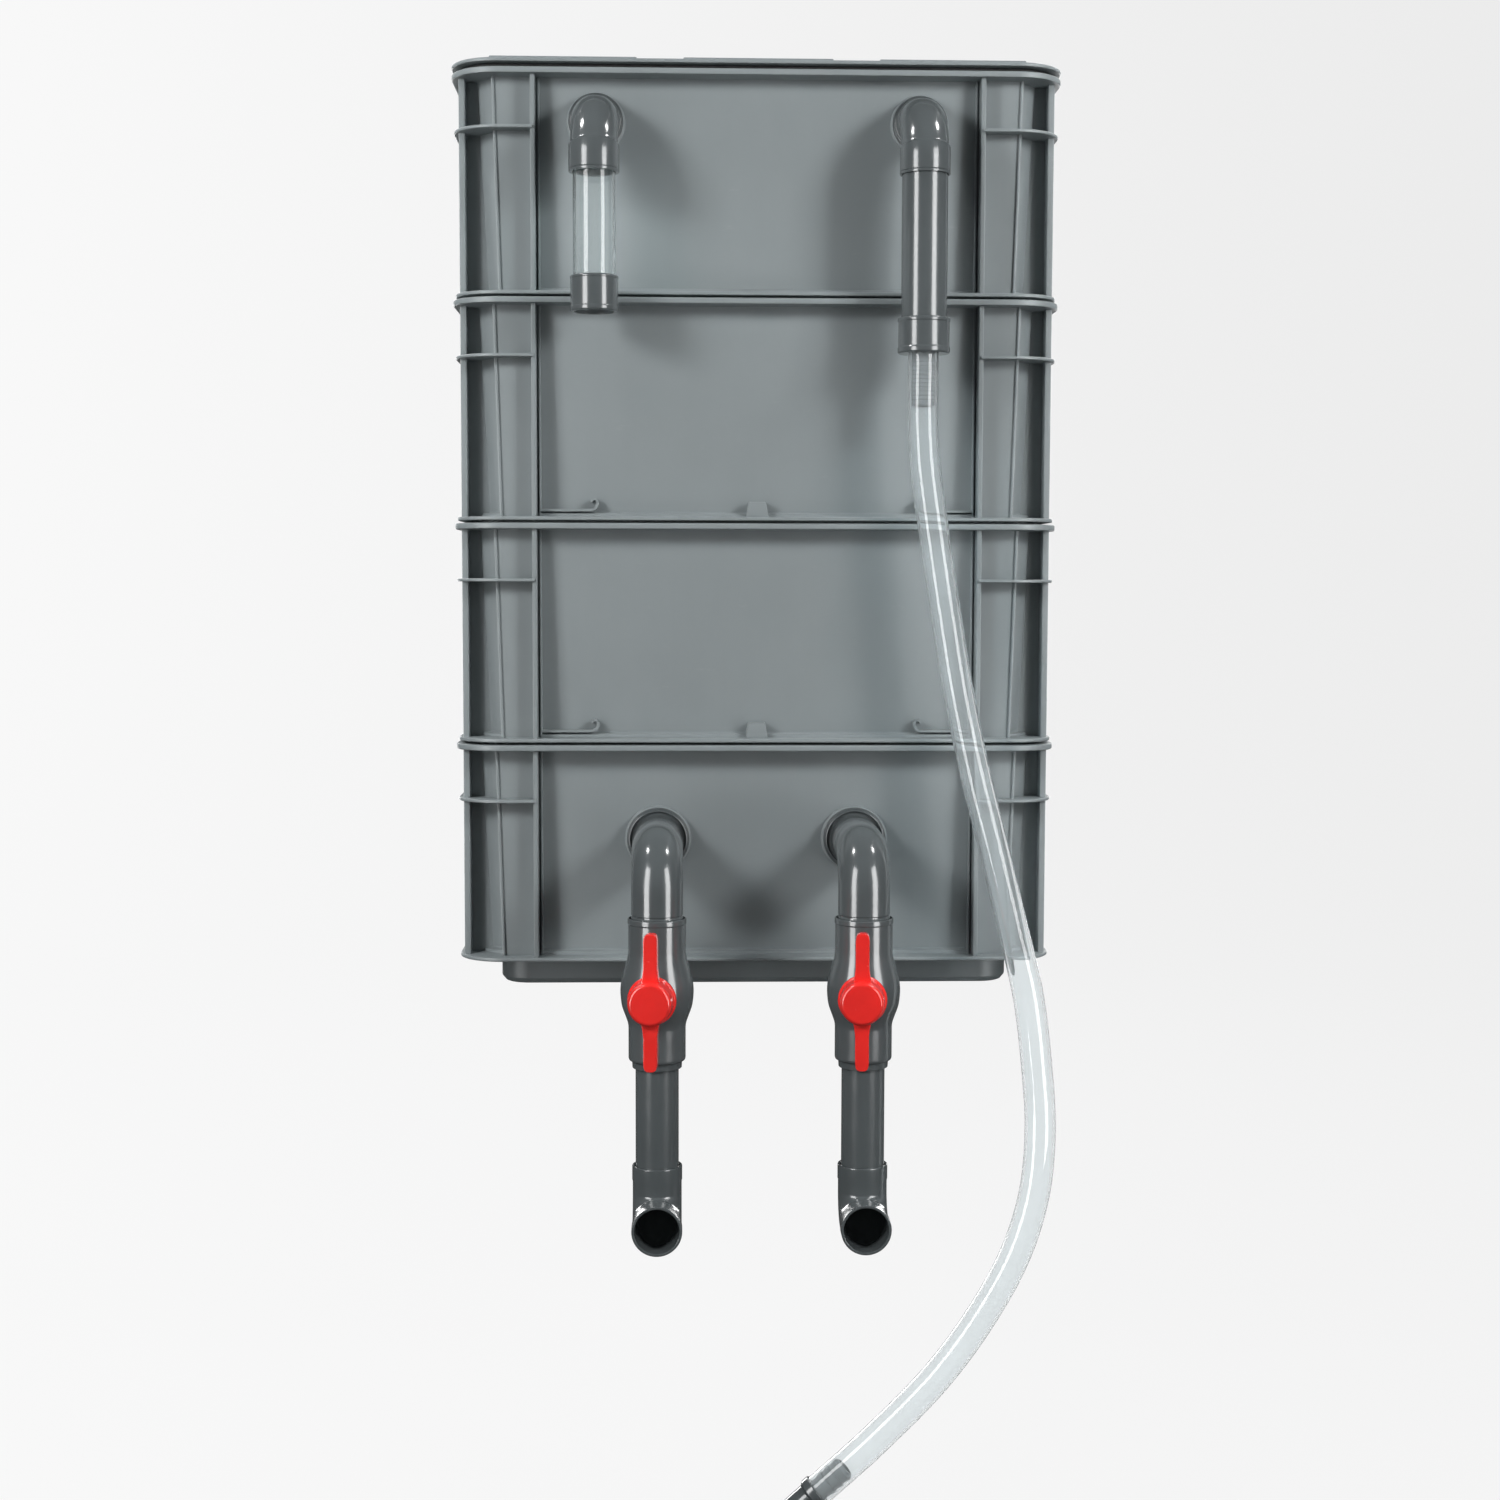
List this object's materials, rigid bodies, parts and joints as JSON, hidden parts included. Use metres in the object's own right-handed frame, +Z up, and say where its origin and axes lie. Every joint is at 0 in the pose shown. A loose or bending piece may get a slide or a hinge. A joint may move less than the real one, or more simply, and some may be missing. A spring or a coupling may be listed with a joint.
{
  "type": "stacked box pond filter",
  "caption": "Tiered trickle filter of stacked grey crates with a lid, clear overflow tube, hose inlet and two valved return pipes that discharge forwards below the base.",
  "frame": {"origin": "centre of the flat underside of the bottom crate's foot, which stands on a stand or shelf", "axes": "+Z up, +X to the right of the plumbing face as the viewer sees it, the plumbing is on the -Y face"},
  "size_m": [0.6, 0.57, 1.4142],
  "materials": {
    "crate_plastic": "moulded satin grey",
    "pvc_grey": "glossy dark grey",
    "seal_rubber": "matt black",
    "handle_red": "glossy red",
    "clear_tube": "clear rigid acrylic",
    "clear_hose": "clear flexible vinyl",
    "white_ptfe": "smooth white",
    "wool": "loose fibre",
    "sponge": "open cell foam",
    "ceramic": "porous rings, loose"
  },
  "bodies": {
    "base": {"crate_4": "crate_plastic", "return_left_bulkhead": "pvc_grey", "return_left_elbow": "pvc_grey", "return_left_gasket": "seal_rubber", "return_left_nut": "pvc_grey", "return_left_pipe": "pvc_grey", "return_left_strainer": "pvc_grey", "return_right_bulkhead": "pvc_grey", "return_right_elbow": "pvc_grey", "return_right_gasket": "seal_rubber", "return_right_nut": "pvc_grey", "return_right_pipe": "pvc_grey", "return_right_strainer": "pvc_grey", "valve_left_body": "pvc_grey", "valve_left_seat_upper": "white_ptfe", "valve_left_seat_lower": "white_ptfe", "valve_right_body": "pvc_grey", "valve_right_seat_upper": "white_ptfe", "valve_right_seat_lower": "white_ptfe"},
    "crate_3": {"crate_3": "crate_plastic", "bio_media_left": "ceramic", "bio_media_right": "ceramic"},
    "crate_2": {"crate_2": "crate_plastic", "sponge_medium": "sponge", "sponge_coarse": "sponge"},
    "crate_1": {"crate_1": "crate_plastic", "filter_wool": "wool", "sponge_fine": "sponge", "sight_tube": "clear_tube", "inner_elbow": "pvc_grey", "spray_bar": "pvc_grey", "spray_bar_cap": "pvc_grey", "hose_tail": "pvc_grey", "hose_connector": "pvc_grey", "inlet_bulkhead": "pvc_grey", "inlet_coupling": "pvc_grey", "inlet_elbow": "pvc_grey", "inlet_gasket": "seal_rubber", "inlet_hose": "clear_hose", "inlet_nut": "pvc_grey", "inlet_pipe": "pvc_grey", "overflow_bulkhead": "pvc_grey", "overflow_coupling": "pvc_grey", "overflow_elbow": "pvc_grey", "overflow_gasket": "seal_rubber", "overflow_nut": "pvc_grey"},
    "lid": {"lid": "crate_plastic", "lid_seal": "seal_rubber"},
    "valve_left": {"valve_left_handle": "handle_red", "valve_left_stem": "pvc_grey", "valve_left_ball": "white_ptfe"},
    "valve_right": {"valve_right_handle": "handle_red", "valve_right_stem": "pvc_grey", "valve_right_ball": "white_ptfe"},
    "discharge_left": {"discharge_left_elbow": "pvc_grey"},
    "discharge_right": {"discharge_right_elbow": "pvc_grey"}
  },
  "joints": [
    {"name": "crate_3_lift", "type": "slide", "parent": "base", "child": "crate_3", "axis": [0, 0, 1], "range_m": [0, 0.04]},
    {"name": "crate_2_lift", "type": "slide", "parent": "crate_3", "child": "crate_2", "axis": [0, 0, 1], "range_m": [0, 0.04]},
    {"name": "crate_1_lift", "type": "slide", "parent": "crate_2", "child": "crate_1", "axis": [0, 0, 1], "range_m": [0, 0.04]},
    {"name": "lid_lift", "type": "slide", "parent": "crate_1", "child": "lid", "axis": [0, 0, 1], "range_m": [0, 0.08]},
    {"name": "valve_left_turn", "type": "hinge", "parent": "base", "child": "valve_left", "pos_m": [-0.098, -0.302, 0.0184], "axis": [0.1045, 0.9945, 0], "range_deg": [0, 90]},
    {"name": "valve_right_turn", "type": "hinge", "parent": "base", "child": "valve_right", "pos_m": [0.098, -0.302, 0.0184], "axis": [0.1045, 0.9945, 0], "range_deg": [0, 90]},
    {"name": "discharge_left_swivel", "type": "hinge", "parent": "base", "child": "discharge_left", "pos_m": [-0.098, -0.302, -0.19], "axis": [0, 0, 1], "range_deg": [-90, 90]},
    {"name": "discharge_right_swivel", "type": "hinge", "parent": "base", "child": "discharge_right", "pos_m": [0.098, -0.302, -0.19], "axis": [0, 0, 1], "range_deg": [-90, 90]}
  ]
}
